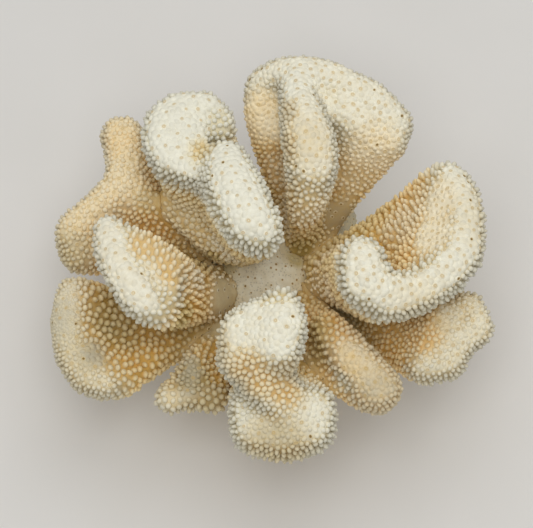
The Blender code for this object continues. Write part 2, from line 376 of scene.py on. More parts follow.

# %% [markdown]
# Every branch had its own light and its own neighbours, so each has its own look. A plain table keeps the
# looks where they can be compared. Lengths are in millimetres, and the rest are shares:
#
# - white says how white the crest is, and white_from and white_to between which depths that fades out
# - peach is the stain of the flank, and dust the grey on a low crest, partly dust and partly painted shade
#   that darkens the lower crests
# - calices is the distance from one calice to the next on the crest
# - crest_gap and flank_gap are the distances between warts on the crest and on the flank
# - length is how long a wart of the flank is, and fringe how long one is where the crest turns down
# - full is how wide a wart of the flank is in its room, taper how much it thins and lean how much it bends
#   the way the branch grew

# %% Looks of the branches
LOOK_NAMES = (
    "white", "white_from", "white_to", "peach", "dust_and_low_shade", "calices",
    "crest_gap", "flank_gap", "length", "fringe", "full", "taper", "lean",
)
LOOKS = {
    "branch_inner_curl": (1.00, 7, 19, 0.30, 0.0, 3.1, 2.00, 2.25, 2.2, 2.2, 0.92, 0.10, 0.30),
    "branch_back_trident": (0.85, 6, 26, 0.65, 0.0, 2.4, 1.85, 2.05, 1.2, 1.4, 1.00, 0.10, 0.30),
    "branch_right_curl": (0.88, 5, 17, 0.60, 0.1, 2.3, 1.90, 2.45, 2.6, 2.0, 0.92, 0.20, 0.35),
    "branch_front_saddle": (0.90, 6, 22, 0.45, 0.7, 4.0, 1.85, 2.20, 1.6, 2.2, 0.92, 0.15, 0.30),
    "branch_left_wedge": (0.85, 6, 19, 0.75, 0.0, 3.4, 2.00, 2.60, 1.8, 1.8, 0.74, 0.30, 0.10),
    "branch_left_fork": (0.42, 4, 20, 0.85, 0.1, 3.4, 1.75, 2.00, 1.0, 1.4, 1.00, 0.05, 0.20),
    "branch_left_cup": (0.45, 3, 16, 0.45, 0.5, 3.4, 1.70, 2.45, 1.8, 1.4, 0.90, 0.05, 0.20),
    "branch_small_fork": (0.15, 3, 13, 0.40, 0.7, 3.6, 1.90, 2.40, 1.8, 2.0, 0.80, 0.10, 0.35),
    "branch_front_finger": (0.40, 4, 18, 0.95, 0.5, 3.4, 1.80, 2.15, 1.5, 1.4, 0.90, 0.05, 0.20),
    "branch_right_fan": (0.70, 3, 15, 0.60, 0.35, 3.2, 1.75, 2.05, 1.3, 1.6, 0.98, 0.05, 0.45),
    "trunk_and_foot": (0.00, 0, 10, 0.20, 0.0, 3.4, 2.20, 2.20, 0.7, 0.7, 0.90, 0.10, 0.00),
}
print("looks:", len(LOOKS))

# %% [markdown]
# The table speaks of crests, rims and flanks. These are zones of a skin, and each one fades into the next
# over a few millimetres. A crest lies at the top, its rim is where it turns down and is painted grey as
# shade, the flank follows, and deep down the long warts shrink to beads. The lowest crests are different:
# they stay beaded, and their grey is partly dust and partly painted shade, darker the lower they stand.
# So each value is mixed from what it is in every zone, by how much of that zone there is.

# %% Paint the looks on the skins
FLANK_DEPTH = (1.5, 7)          # how far below the crest its flank begins, from not at all to fully
USUAL_DEEP = (16, 34)           # how far down the long warts turn to beads
DEEP_FLANK = {                  # the same, where they stay long further down
    "branch_right_curl": (24, 46),
    "trunk_and_foot": (60, 90),
}
# below these heights the crests are beaded and painted greyer the lower they stand, partly as dust and
# partly as painted shade
LOW_TIER = (55, 86)             # the heights between which low, dusty crests give way to high ones
SIDE_FACING = (0.25, 0.85)      # how much the skin faces up, from where it is fringed to where it isn't
CREST_LENGTH, LOW_LENGTH = 0.45, 0.9    # of a wart on top of a high crest, and of a low one
CREST_FULL, LOW_FULL = 1.02, 0.92       # how wide these are, as a share of the room between neighbours
SIDE_FULL = 0.86                # the most that this may be where the crest turns down
BEAD_LENGTH = 1.4               # of a wart far down the flank
# painted shade: the rim of a crest, where it turns down and away from the lights, is painted grey
RIM_SHADE = 0.50                 # how grey the rim of a crest is, where it turns down
RIM_DEPTH = (6, 14)             # how far down the rim fades out
OLIVE_DEPTH = (20, 45)          # between which depths the old ground turns olive
OLIVE_DEEP = 0.5                # how olive it is at the deepest


def add_look(name, skin):
    """Adds the colours and the wart sizes that follow from the distance below the crest."""
    look = dict(zip(LOOK_NAMES, LOOKS[name]))
    below, free = skin["below"], skin["free"]
    ones = np.ones(len(below))
    flank = smooth_step(*FLANK_DEPTH, below)
    deep = smooth_step(*DEEP_FLANK.get(name, USUAL_DEEP), below)
    low = 1 - smooth_step(*LOW_TIER, skin["places"][:, 2] / MM)
    side = 1 - smooth_step(*SIDE_FACING, skin["normals"][:, 2])
    # painted shade: grey is painted where the skin near the crest turns sideways, away from the lights
    skin["rim"] = RIM_SHADE * side * (1 - smooth_step(*RIM_DEPTH, below))
    skin["white"] = look["white"] * (1 - smooth_step(look["white_from"], look["white_to"], below))
    skin["peach"] = look["peach"] * ones
    skin["olive"] = OLIVE_DEEP * smooth_step(*OLIVE_DEPTH, below)
    # painted shade: low crests are painted grey, darker the lower they stand, with some dust
    skin["grey"] = look["dust_and_low_shade"] * low * (1 - flank)
    skin["smooth"] = 1 - free
    skin["gaps"] = mix(look["crest_gap"], look["flank_gap"], flank)
    crest_length = mix(CREST_LENGTH, LOW_LENGTH, low)
    length = mix(mix(crest_length, look["length"], flank), look["fringe"], side)
    skin["length"] = mix(length, BEAD_LENGTH, deep)
    full = mix(mix(CREST_FULL, LOW_FULL, low), look["full"], flank)
    skin["full"] = mix(full, np.minimum(full, SIDE_FULL), side)
    skin["calices"] = look["calices"] * ones
    skin["taper"] = look["taper"] * flank
    skin["lean"] = look["lean"] * flank
    skin["back"] = np.zeros(len(below))


for node_name, skin in skins.items():
    add_look(node_name, skin)
    print(node_name, "longest wart, mm:", round(float(skin["length"].max()), 1))

# %% [markdown]
# The trunk is the oldest part, and it was handled most. Its warts are worn down in patches, and nearest
# the cut they are gone. Noise gives patches without any order, so it decides where the trunk is bare,
# where it is dusty and where a little olive is left. Trunk warts also differ more in size than those of a
# branch. Each value below is a middle, and how much the patches add to it or take away.

# %% Worn trunk
WEAR_SIZE = 9 * MM              # from one worn patch to the next
DUST_SIZE = 14 * MM             # from one dusty patch to the next
WEAR, WEAR_SPREAD = 0.42, 1.1   # 0 is full warts and 1 is bare
FOOT_WEAR = 0.6                 # what the handling of the foot adds to the wear
FOOT_HEIGHT = (3, 15)           # millimetres above the cut, between which that fades out
DUST, DUST_SPREAD, DUST_MOST = 0.40, 1.2, 0.85
OLIVE, OLIVE_SPREAD, OLIVE_MOST = 0.25, -1.2, 0.70
BARE_WHITE = 0.35               # how white the bare patches are rubbed
BARE_FROM_TO = (0.4, 1.0)       # the wear between which they turn white
TRUNK_GAP, GAP_SPREAD = 2.2, 1.0        # millimetres between trunk warts
BARE = 0.80                     # a skin smoother than this carries no warts


def patches(places, size, shift):
    """Noise between about -0.6 and 0.6 at each place. A shift in metres gives other patches."""
    return np.array([noise.noise((Vector(p) + Vector((shift, 0, 0))) / size) for p in places])


trunk = skins["trunk_and_foot"]
trunk_height = trunk["places"][:, 2] / MM
worn_patches = patches(trunk["places"], WEAR_SIZE, 0)
dusty_patches = patches(trunk["places"], DUST_SIZE, 0.3)
wear = WEAR + WEAR_SPREAD * worn_patches + FOOT_WEAR * (1 - smooth_step(*FOOT_HEIGHT, trunk_height))
trunk["smooth"] = np.maximum(trunk["smooth"], np.clip(wear, 0, 1))
trunk["grey"] = np.clip(DUST + DUST_SPREAD * dusty_patches, 0, DUST_MOST)
trunk["olive"] = np.clip(OLIVE + OLIVE_SPREAD * dusty_patches, 0, OLIVE_MOST)
trunk["white"] = BARE_WHITE * smooth_step(*BARE_FROM_TO, wear)
trunk["gaps"] = TRUNK_GAP + GAP_SPREAD * patches(trunk["places"], WEAR_SIZE, 0.6)
for skin in skins.values():
    skin["wears"] = 1.0 if skin is trunk else 0.0    # only the trunk's bare skin is worn open
print("worn bare, share of the trunk:", round(float((trunk["smooth"] > BARE).mean()), 2))

# %% [markdown]
# Some places differ from their branch: a peach cheek, an olive crevice that is painted shade, a grey rim
# or low lobe that is painted shade, a worn neck, a ruffle of long warts. Each is written as a spot with
# its centre and radius in millimetres and the values that it pulls towards. Inside a third of the radius
# a spot counts fully, and from there it fades out. Painting by hand in Vertex Paint would do the same, but
# spots can be read and changed one by one.

# %% Spots
FORK_LOOK = dict(white=0.45, peach=0.45, olive=0.20, grey=0.10)     # round a fork the colours meet
FORK_BLEND = 0.6                # how much of the fork's look a skin takes on there

for skin in skins.values():
    for key, value in FORK_LOOK.items():
        skin[key] = mix(skin[key], value, FORK_BLEND * (1 - skin["free"]))

# looks that several spots share
RUFFLE = dict(length=2.2, gaps=2.4, full=0.86, rim=0.1)
CHEEK = dict(white=0.62, peach=0.9, length=0.7, gaps=1.9, full=0.96, below=4, calices=2.0)
# painted shade: a crevice between branches is painted dark olive where shade falls
CREVICE_SHADE = dict(olive=1.0, white=0.0, peach=0.0)
FINGERS = dict(length=1.8, gaps=2.8, full=0.68, back=0.3)

SPOTS = {
    "branch_inner_curl": [
        ((-20, 23, 87), 8, dict(white=0.30, olive=0.25, length=1.3, gaps=2.2, full=0.86)),
        ((-15, -2, 60), 14, dict(white=0.65, olive=0.0)),
        # painted shade in the crevice
        ((-18, -2, 54), 6, CREVICE_SHADE),
        ((-27, 12, 58), 17, dict(white=0.40, grey=0.0, olive=0.2, lean=0.6, length=1.3, full=1.0)),
        ((-13, 35, 82), 9, dict(white=1.0, rim=0.1, length=1.2, gaps=2.0, full=1.0)),
        ((-2, 9, 88), 7, RUFFLE),
        ((5, -3, 88), 7, RUFFLE),
        ((3, -12, 84), 8, RUFFLE),
        ((-9, -11, 82), 8, RUFFLE),
    ],
    "branch_back_trident": [
        ((-3, 42, 71), 14, dict(white=0.30, peach=1.0, length=0.5, gaps=1.8)),
        ((3, 40, 72), 9, dict(white=0.50, peach=1.0, length=0.5)),
        # painted shade: the ridge is painted greyer, to darken it
        ((12, 24, 93), 14, dict(white=0.50, grey=0.35)),
        ((15, 8, 84), 10, dict(white=0.60, peach=0.5, length=1.6, gaps=2.0, full=0.96)),
        ((14, 4, 72), 12, dict(white=0.60, olive=0.0, peach=0.8)),
        ((25, 16, 49), 10, dict(white=0.20, olive=0.1, peach=0.2, grey=0.6, smooth=1.0)),
        # painted shade in the crevice
        ((12, 5, 45), 7, CREVICE_SHADE),
        # painted shade: the steep side of the ridge, away from the key light, is painted grey
        ((6, 36, 89), 7, dict(grey=0.6, white=0.3, length=1.8, gaps=2.2)),
        ((6, 24, 88), 7, dict(grey=0.3, white=0.2, length=1.8, gaps=2.2)),
        ((7, 11, 82), 7, dict(white=0.5, length=2.0, gaps=2.4)),
        ((36, 28, 73), 16, dict(white=0.50, peach=1.0, length=0.7, gaps=1.8)),
        ((30, 23, 62), 11, dict(white=0.45, peach=0.6, length=1.2, gaps=2.0)),
        ((11, 50, 88), 12, dict(white=0.95)),
        ((5, 28, 59), 11, dict(olive=0.0, white=0.45, peach=1.0, grey=0.0)),
        ((7, 15, 51), 11, dict(olive=0.0, white=0.50, peach=1.0, grey=0.0)),
    ],
    "branch_right_curl": [
        ((44, 6, 72), 15, dict(white=0.45, peach=0.8, length=2.5, gaps=2.4, full=0.90)),
        ((55, 8, 84), 12, CHEEK),
        ((53, -5, 84), 12, CHEEK),
        # painted shade: the outer rim, which turns away from the lights, is painted grey
        ((70, 0, 84), 17, dict(white=0.70, grey=0.45)),
        ((48, -32, 86), 14, dict(white=0.65, grey=0.15)),
        ((20, -1, 54), 10, dict(olive=0.1, peach=0.7, white=0.3)),
        ((16, -12, 50), 11, dict(olive=0.1, peach=0.8, white=0.5, smooth=0.8)),
        ((20, -17, 63), 10, dict(olive=0.0, peach=0.8, white=0.45)),
        ((22, -22, 88), 7, dict(length=1.7, gaps=2.5, full=0.80)),
        ((27, -33, 86), 8, dict(length=1.8, gaps=2.6, full=0.80)),
    ],
    "branch_front_saddle": [
        ((4, -26, 88), 10, dict(length=2.1, gaps=2.4, full=0.86)),
        ((-6, -53, 82), 13, dict(white=0.25, peach=0.7, length=1.5, gaps=2.0)),
        ((7, -56, 81), 13, dict(white=0.25, peach=0.7, length=1.5, gaps=2.0)),
        # painted shade: the left edge and the low lobe turn away from the lights and are painted grey
        ((-14, -42, 80), 10, dict(grey=0.7, white=0.35)),
        ((4, -70, 64), 16, dict(white=0.12, grey=0.55)),
    ],
    "branch_left_wedge": [
        # painted shade: the upper left rim is painted grey
        ((-53, -9, 89), 12, dict(grey=0.35)),
        ((-38, -9, 88), 9, dict(FINGERS, white=0.45, length=1.9)),
        ((-29, -17, 84), 11, dict(FINGERS, white=0.38)),
        ((-24, -18, 74), 10, dict(FINGERS, white=0.30)),
        ((-37, -38, 84), 7, dict(length=1.5, gaps=2.4, full=0.80)),
        ((-22, -13, 67), 9, dict(peach=0.9, white=0.65, olive=0.0)),
        ((-14, -13, 48), 13, dict(peach=0.8, smooth=1.0, olive=0.0, white=1.0)),
        ((-26, -30, 70), 11, dict(olive=0.75, white=0.0)),
    ],
    "branch_left_fork": [
        # painted shade: the low left rim is painted grey
        ((-66, -1, 56), 13, dict(grey=0.45, peach=0.4, white=0.15)),
        ((-50, 37, 64), 9, dict(white=0.25, peach=1.0)),
        ((-36, 14, 54), 14, dict(length=1.5, gaps=2.3, white=0.1, full=0.85)),
        ((-39, 16, 62), 8, dict(white=0.30, peach=0.5, olive=0.4)),
    ],
    "branch_left_cup": [
        # painted shade: the left rim is painted grey
        ((-69, -26, 60), 12, dict(grey=0.8, length=0.35, gaps=1.2)),
        ((-64, -17, 63), 8, dict(white=0.6, peach=0.7)),
        ((-50, -22, 54), 15, dict(olive=0.8, white=0.15, gaps=2.7)),
        # painted shade: a crease is painted grey
        ((-57, -38, 60), 8, dict(grey=0.7, white=0.0, length=0.5)),
        ((-53, -49, 58), 9, dict(white=0.60, grey=0.2)),
    ],
    "branch_small_fork": [
        ((-17, -20, 37), 8, dict(white=0.8, olive=0.2, peach=0.3, smooth=1.0)),
        ((-24, -43, 54), 9, dict(white=0.0, olive=0.9)),
        ((-34, -53, 54), 9, dict(white=0.65, grey=0.2, length=1.2, gaps=2.2)),
        # painted shadow: the part that lies under the saddle branch is painted grey, with some olive
        ((-18, -52, 53), 9, dict(white=0.0, olive=0.5, grey=0.4, length=1.6, gaps=2.4)),
    ],
    "branch_front_finger": [
        ((15, -34, 62), 14, dict(olive=0.8, white=0.1, gaps=2.9, full=0.62, length=1.2)),
        ((26, -46, 72), 8, dict(white=0.1, peach=1.0)),
        ((24, -50, 66), 6, dict(white=0.8, peach=0.8)),
        # painted shade: the low tip is painted grey
        ((38, -55, 68), 16, dict(grey=0.55, white=0.1)),
    ],
    "branch_right_fan": [
        ((50, -30, 66), 13, dict(white=0.15, peach=0.8)),
        # painted shade: the low end is painted grey
        ((57, -48, 60), 11, dict(grey=0.5)),
    ],
    "trunk_and_foot": [
        ((-1, -4, 46), 20, dict(white=0.80, peach=0.6, olive=0.9, smooth=1.0, grey=0.0)),
        # painted shade: the crevices round the trunk are painted dark olive
        ((10, 3, 42), 5, CREVICE_SHADE),
        ((-14, 0, 42), 6, dict(olive=1.0, white=0.1, peach=0.0)),
        ((25, 26, 28), 12, dict(grey=0.8, smooth=1.0, olive=0.0)),
    ],
}

for node_name, spots in SPOTS.items():
    skin = skins[node_name]
    for centre, radius, values in spots:
        distance = np.linalg.norm(skin["places"] / MM - np.array(centre), axis=1)
        share = 1 - smooth_step(radius / 3, radius, distance)
        for key, value in values.items():
            skin[key] = mix(skin[key], value, share)
for skin in skins.values():
    # white growth takes away part of the grey, both dust and painted shade, but the painted shade on the
    # rims stays
    skin["grey"] = np.maximum(skin["grey"] * (1 - skin["white"]), skin["rim"])
print("spots:", sum(len(spots) for spots in SPOTS.values()))

# %% [markdown]
# Now the skins are sunk, so that the tips of the warts come out at the envelope. Where a branch leaves
# the trunk the real skeleton has no gap: there the skin is pushed a little way into its neighbour, and
# the fork closes. A slow swell is added to the rest, because a coral never grows quite evenly.

# %% Sink the skins
SINK_SHARE = 0.85           # of a wart's length
DEEPEST = 2.2 * MM          # no skin sinks further than this
FORK_PUSH = 0.9 * MM        # how far a skin is pushed into its neighbour at the fork
PUSH_FADE = 2.2 * FORK_NEAR     # the gap at which the push has faded out
TRUNK_PUSH = 0.2            # of that push, what the trunk gets, because the branches already reach into it
SWELL_HEIGHT = 0.35 * MM    # how far the slow swell rises and falls
SWELL_LENGTH = 9 * MM       # the distance from one swell to the next

for node_name, skin in skins.items():
    swell = np.array([noise.noise(Vector(p) / SWELL_LENGTH) for p in skin["places"]]) * SWELL_HEIGHT
    sink = np.minimum(skin["length"] * MM * SINK_SHARE, DEEPEST) * (1 - skin["smooth"])
    push = FORK_PUSH * (1 - smooth_step(0, PUSH_FADE, skin["gap"]))
    if node_name == "trunk_and_foot":
        push = TRUNK_PUSH * push
    travel = push - sink + (swell - SWELL_HEIGHT / 2) * skin["free"]
    ground = skin["places"] + skin["normals"] * travel[:, None]
    cut = skin["places"][:, 2] < CUT_LEVEL
    ground[cut, 2] = skin["places"][cut, 2]
    ground[:, 2] = np.maximum(ground[:, 2], 0.0)
    skin["ground"] = ground
    skin["tree"] = BVHTree.FromPolygons(ground.tolist(), skin["corners"].tolist())
print("sunk by up to", DEEPEST / MM, "mm")

# %% [markdown]
# Three small shapes make the whole surface. A dome is the low wart of the crest, a thumb is the long wart
# of the flank, and a calice is the pit of one polyp, with a rim and a little hump in the middle. All
# three are turned like pots: a profile of a few corners is spun round the axis with a Spin. They have so
# few faces because they are repeated thousands of times.

# %% Dome, thumb and calice
# radius and height of each ring, as shares of the half width and the length; they start inside the skin
DOME_PROFILE = [(1.30, -0.35), (1.02, 0.12), (0.72, 0.56), (0.38, 0.88), (0.0, 1.0)]
THUMB_PROFILE = [(1.10, -0.12), (1.00, 0.34), (0.91, 0.64), (0.62, 0.90), (0.0, 1.03)]
CALICE_PROFILE = [(1.25, -0.45), (1.00, 0.20), (0.84, 0.52), (0.64, 0.60), (0.40, 0.34), (0.0, 0.58)]
SIDES = 8
WELD_SHARE = 1e-5       # of the half width; the corners that meet on the axis are welded


def turned(profile, sides):
    """Corners and faces of a profile spun round Z, as arrays. The faces are all triangles."""
    bm = bmesh.new()
    ring = [bm.verts.new((r, 0, z)) for r, z in profile]
    edges = [bm.edges.new(pair) for pair in zip(ring, ring[1:])]
    turn = {"axis": (0, 0, 1), "cent": (0, 0, 0), "angle": 2 * math.pi, "steps": sides, "use_merge": True}
    bmesh.ops.spin(bm, geom=ring + edges, **turn)
    bmesh.ops.remove_doubles(bm, verts=bm.verts, dist=WELD_SHARE)
    bmesh.ops.triangulate(bm, faces=bm.faces)
    bmesh.ops.recalc_face_normals(bm, faces=bm.faces)
    lowest = min(bm.faces, key=lambda f: f.calc_center_median().z)
    if lowest.normal.xy.dot(lowest.calc_center_median().xy) < 0:
        bmesh.ops.reverse_faces(bm, faces=bm.faces)
    bm.verts.index_update()
    corners = np.array([v.co for v in bm.verts])
    # the operators leave the faces in an order that differs from run to run, so they are sorted
    faces = np.array(sorted([v.index for v in f.verts] for f in bm.faces))
    bm.free()
    return corners, faces


DOME, THUMB, CALICE = (turned(profile, SIDES) for profile in (DOME_PROFILE, THUMB_PROFILE, CALICE_PROFILE))
for name, shape in (("dome", DOME), ("thumb", THUMB), ("calice", CALICE)):
    print(name, "triangles:", len(shape[1]))

# %% [markdown]
# Warts keep their distance from each other, yet they aren't in a grid. Throwing darts gives that pattern.
# Places are drawn at random over the skin, more where warts are crowded, and one is kept only if no kept
# place is too near. Then the kept places push each other apart a little, as growing things do.

# %% Throw darts
DART_SEED = 100         # each branch adds its own number, and every run draws the same
DARTS_PER_WART = 10     # thrown, so that there is hardly a hole left where one more would fit
STAINS_AND_SHADE = ("white", "peach", "olive", "grey")
SKIN_VALUES = (*STAINS_AND_SHADE, "smooth", "gaps", "length", "full", "taper", "lean", "back", "below", "calices")


def values_at(skin, picks, weights):
    """The ground, normal, growth and every look at places given by a triangle and three shares."""
    found = {}
    for key in ("ground", "normals", "growth", *SKIN_VALUES):
        values = skin[key][skin["corners"][picks]]
        shares = weights[:, :, None] if values.ndim == 3 else weights
        found[key] = (values * shares).sum(axis=1)
    return found


def throw_darts(skin, rng):
    """Random places over a skin's ground, more where the warts stand closer."""
    a, b, c = (skin["ground"][skin["corners"][:, i]] for i in range(3))
    areas = np.linalg.norm(np.cross(b - a, c - a), axis=1) / 2 / MM**2
    room = areas / skin["gaps"][skin["corners"]].mean(axis=1) ** 2
    count = int(room.sum() * DARTS_PER_WART)
    picks = rng.choice(len(areas), size=count, p=room / room.sum())
    u, v = rng.random(count), rng.random(count)
    over = u + v > 1
    u[over], v[over] = 1 - u[over], 1 - v[over]
    return values_at(skin, picks, np.stack((1 - u - v, u, v), axis=1)), areas.sum()


print("values at each place:", len(SKIN_VALUES))

# %% [markdown]
# Thousands of darts can't each be held against all the others. So space is divided into cells as wide as
# the longest distance that any dart wants, and a dart is only held against those in its own cell and the
# ones around it.

# %% Keep the darts apart


def keep_apart(places, distances):
    """The darts that keep their distance from those kept before them."""
    cell = distances.max()
    keys = np.floor(places / cell).astype(int).tolist()
    around = [(i, j, k) for i in (-1, 0, 1) for j in (-1, 0, 1) for k in (-1, 0, 1)]
    grid = {}
    kept = []
    for dart, ((x, y, z), (px, py, pz), least) in enumerate(zip(keys, places.tolist(), distances.tolist())):
        clear = True
        for i, j, k in around:
            for qx, qy, qz, other in grid.get((x + i, y + j, z + k), ()):
                far = (least + other) / 2
                if (px - qx) ** 2 + (py - qy) ** 2 + (pz - qz) ** 2 < far * far:
                    clear = False
                    break
            if not clear:
                break
        if clear:
            grid.setdefault((x, y, z), []).append((px, py, pz, least))
            kept.append(dart)
    return np.array(kept)


print("of two places too near each other, kept:", len(keep_apart(np.eye(3)[:2], np.full(2, 2.0))))

# %% [markdown]
# In a few rounds, kept darts that are crowded push each other along the skin. A pushed place leaves the
# skin a little, so it is put back on the nearest triangle, and its looks are read there afresh.

# %% Push the darts apart
PUSH_ROUNDS = 4
PUSH_SHARE = 0.35       # of the distance that is missing between two warts, in each round
PUSH_REACH = 1.05       # of the distance that a wart wants, how far it looks for others


def nearest_on_skin(skin, places):
    """The places put back on the ground of a skin, with every look there."""
    picks = np.empty(len(places), int)
    spots = np.empty((len(places), 3))
    for i, place in enumerate(places):
        spot, _, picks[i], _ = skin["tree"].find_nearest(Vector(place))
        spots[i] = spot
    a, b, c = (skin["ground"][skin["corners"][picks, i]] for i in range(3))
    across = np.cross(b - a, c - a)
    size = (across**2).sum(axis=1)
    u = (np.cross(spots - a, c - a) * across).sum(axis=1) / size
    v = (np.cross(b - a, spots - a) * across).sum(axis=1) / size
    return values_at(skin, picks, np.clip(np.stack((1 - u - v, u, v), axis=1), 0, 1))


def push_apart(skin, darts):
    """Lets crowded places push each other away along the skin."""
    for _ in range(PUSH_ROUNDS):
        places, gaps = darts["ground"], darts["gaps"] * MM
        tree = nearest_finder(places)
        ones, others = [], []
        for i, place in enumerate(places):
            for _, j, _ in tree.find_range(place, gaps[i] * PUSH_REACH):
                if j != i:
                    ones.append(i)
                    others.append(j)
        ones, others = np.array(ones), np.array(others)
        away = places[ones] - places[others]
        distance = np.maximum(np.linalg.norm(away, axis=1), TINY)
        missing = np.maximum((gaps[ones] + gaps[others]) / 2 - distance, 0)
        step = away * (missing / distance * PUSH_SHARE)[:, None]
        moved = places.copy()
        np.add.at(moved, ones, step)
        darts = nearest_on_skin(skin, moved)
    return darts


print("rounds of pushing:", PUSH_ROUNDS)

# %% [markdown]
# Now every skin gets its places. One throw leaves holes here and there, so a second one is thrown among the
# places that were kept, and all of them are pushed apart again.

# %% Find the places
THROWS = 2
FIRST_GAP = 0.80        # the darts start closer than they end, as a share of the distance that they want

wart_places = {}
for number, (node_name, skin) in enumerate(skins.items()):
    rng = np.random.default_rng(DART_SEED + number)
    darts = {}
    for _ in range(THROWS):
        thrown, area = throw_darts(skin, rng)
        if darts:
            thrown = {key: np.concatenate((values, thrown[key])) for key, values in darts.items()}
        kept = keep_apart(thrown["ground"], thrown["gaps"] * MM * FIRST_GAP)
        darts = push_apart(skin, {key: values[kept] for key, values in thrown.items()})
    wart_places[node_name] = darts
    print(node_name, "area, cm2:", round(area / 100), "places:", len(darts["below"]))
print("places in all:", sum(len(d["below"]) for d in wart_places.values()))

# %% [markdown]
# At every place stands a dome, a thumb or a calice. On the crest the domes are low and touch at their
# skirts, with a calice here and there. Down the flank the thumbs grow longer and the calices hide between
# them. Where the skin is smooth only calices are left, and they are open and dark.

# %% Choose the calices
HALF_WORN = 0.5         # smoother than this, it shows no calices of a crest
CALICE_REACH = 15.0     # how far down from the crest calices show
SHORT_WART = 1.0        # calices show only among warts shorter than this
PIT_GAP = 1.8           # from one open pit to the next where the skin is smooth, at the least
PIT_SHARE = 0.4         # of the places for a pit, those that have one


def choose_calices(darts, rng):
    """True for the places that hold a calice instead of a wart."""
    high = (darts["below"] < CALICE_REACH) & (darts["length"] < SHORT_WART)
    crest = high & (darts["smooth"] < HALF_WORN)
    worn = darts["smooth"] > BARE
    order = rng.permutation(len(crest))
    order = order[(crest | worn)[order]]
    chosen = np.zeros(len(crest), bool)
    if len(order):
        gaps = np.where(worn, PIT_GAP, darts["calices"])[order] * MM
        chosen[order[keep_apart(darts["ground"][order], gaps)]] = True
    chosen &= ~worn | (rng.random(len(crest)) < PIT_SHARE)
    return chosen


print("calices show down to", CALICE_REACH, "mm below a crest")

# %% [markdown]
# A crowd of warts could be made as instances, but the export wants plain meshes, so one array operation
# copies a shape to all its places. Each copy stands on the skin's normal, turned at random, a little
# oval, and bent the way the branch grew.

# %% Set out a crowd
RISE_LENGTH = 1.5 * MM      # only warts longer than this show the full colour of the ground at their foot
OVAL_RANGE = (0.84, 1.16)   # a wart is stretched by such a share one way and squeezed the other way
BEND_POWER = 1.3            # above 1, so that a wart bends more near its tip than at its foot
BACK = np.array((0, 1, 0))  # a few fingers are swept this way


def least_rise(length):
    """Where the warts are short, they and the ground between them are the colour of a tip all over."""
    return np.clip(1 - length / RISE_LENGTH, 0, 1)


def set_out(shape, darts, chosen, half_width, length, lean, back, taper, rng):
    """One joined crowd of a shape: corners and faces, each corner's height share and the wart it is of."""
    corners, faces = shape
    places, normals = darts["ground"][chosen], unit(darts["normals"][chosen])
    growth = darts["growth"][chosen]
    along = unit(growth - normals * (growth * normals).sum(axis=1)[:, None] + TINY)
    side = np.cross(normals, along)
    turn = rng.uniform(0, 2 * math.pi, len(places))[:, None]
    u = along * np.cos(turn) + side * np.sin(turn)
    v = np.cross(normals, u)
    x, y, z = (corners[:, i][None, :, None] for i in range(3))
    oval = rng.uniform(*OVAL_RANGE, len(places))[:, None, None]
    girth = half_width[:, None, None] * (1 - taper[:, None, None] * np.clip(z, 0, 1))
    tall = length[:, None, None]
    out = places[:, None] + (u[:, None] * x * oval + v[:, None] * y / oval) * girth
    out = out + normals[:, None] * z * tall
    bend = np.clip(z, 0, None) ** BEND_POWER * tall
    out = out + bend * (along * lean[:, None] + BACK * back[:, None])[:, None]
    starts = (np.arange(len(places)) * len(corners))[:, None, None]
    rise = np.maximum(np.clip(corners[:, 2], 0, 1)[None], least_rise(length)[:, None]).ravel()
    owner = np.repeat(np.flatnonzero(chosen), len(corners))
    return out.reshape(-1, 3), (faces[None] + starts).reshape(-1, 3), rise, owner


print("a wart's foot is oval by up to", OVAL_RANGE[1])

# %% [markdown]
# A calice is wide and low. The corners of its rings know how deep in the pit they are, which the finish
# will use to darken it. In a few calices, and in all of those on worn skin, the middle has broken out.

# %% Set out the calices
CALICE_WIDTH = 0.86         # half of a calice with its swollen wall
CALICE_RANGE = (0.8, 1.15)
WORN_SHARE = 0.72           # how wide a calice is left where the skin is worn smooth
WALL_HEIGHT, WORN_WALL = 0.42, 0.10     # of a calice, fresh and worn
OPEN_SHARE = 0.05           # of the calices, those whose middle has broken out
PIT_RADII = (0.0, 0.40, 0.64, 0.84)     # the rings of a calice, from the middle out
CLOSED_PIT = (0.0, 0.9, 0.6, 0.1)       # how deep in the pit each ring is, where the middle is whole
OPEN_PIT = (2.0, 1.8, 0.6, 0.0)         # the same, where it has broken out


def calice_crowd(darts, chosen, rng):
    """The calices of one branch as a crowd, with how deep in a pit each corner is."""
    count = int(chosen.sum())
    worn = darts["smooth"][chosen]
    broken = (rng.random(count) < OPEN_SHARE) | (worn > BARE)
    size = CALICE_WIDTH * MM * rng.uniform(*CALICE_RANGE, count) * mix(1.0, WORN_SHARE, worn)
    wall = mix(WALL_HEIGHT, WORN_WALL, worn) * MM
    none = np.zeros(count)
    corners, faces, rise, owner = set_out(CALICE, darts, chosen, size, wall, none, none, none, rng)
    radius = np.hypot(CALICE[0][:, 0], CALICE[0][:, 1])
    inside = np.interp(radius, PIT_RADII, CLOSED_PIT)
    middle = np.interp(radius, PIT_RADII, OPEN_PIT)
    pit = np.where(broken[:, None], middle[None], inside[None]).ravel()
    return corners, faces, np.ones(len(rise)), owner, pit


print("width of a fresh calice, mm:", 2 * CALICE_WIDTH)

# %% [markdown]
# No two warts have the same size, so length, width and lean each get a small random share of their own.
# Worn warts are shorter and narrower.

# %% Set out the warts
CROWD_SEED = 200                # each branch adds its own number
THUMB_FROM = 0.75               # a wart longer than this is a thumb
LOW = 1.5 * MM                  # closer to the cut than this there are no warts and no calices
LENGTH_RANGE = (0.72, 1.18)     # each wart's own share of the length it should have
WIDTH_RANGE = (0.88, 1.08)      # the same for its width and its lean
LEAN_RANGE = (0.5, 1.4)
WORN_LENGTH, WORN_WIDTH = 0.35, 0.6     # what is left of a wart where the skin is worn smooth


